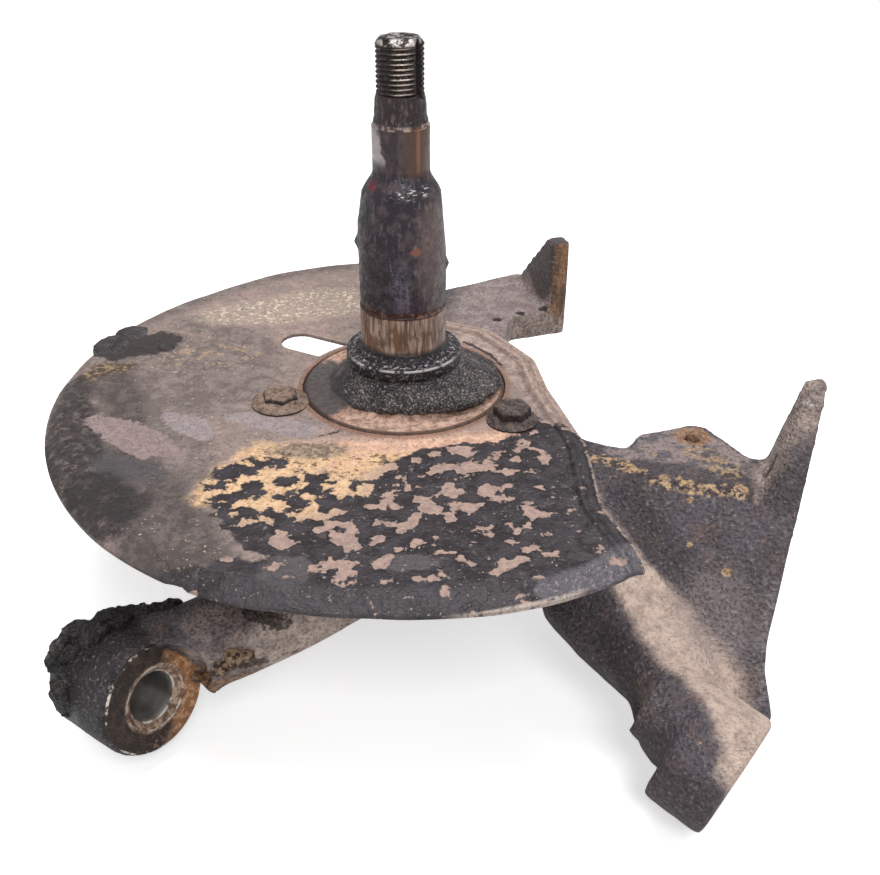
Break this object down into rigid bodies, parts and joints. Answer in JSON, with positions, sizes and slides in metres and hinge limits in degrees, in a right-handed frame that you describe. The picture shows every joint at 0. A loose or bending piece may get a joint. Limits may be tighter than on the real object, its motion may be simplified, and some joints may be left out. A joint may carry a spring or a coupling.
{
  "type": "steering knuckle",
  "caption": "Used forged steering knuckle with integral tapered wheel spindle, steering-arm eye, ball-joint bosses, brake-caliper supports and a rusty sheet-metal dust shield.",
  "frame": {"origin": "on the spindle axis, in the outboard face of the hub flange", "axes": "+Z outboard along the spindle; the two caliper supports lie on the +X side and the steering-arm eye lies towards -X -Y"},
  "size_m": [0.3092, 0.3427, 0.2317],
  "materials": {
    "forging": "rough, rusty and greasy, with worn bright machined seats",
    "shield_sheet": "black paint flaked off over pinkish-brown rust",
    "bolt_steel": "rusty and worn"
  },
  "bodies": {
    "root": {"knuckle": "forging", "dust_shield": "shield_sheet", "shield_bolts": "bolt_steel"}
  },
  "joints": []
}
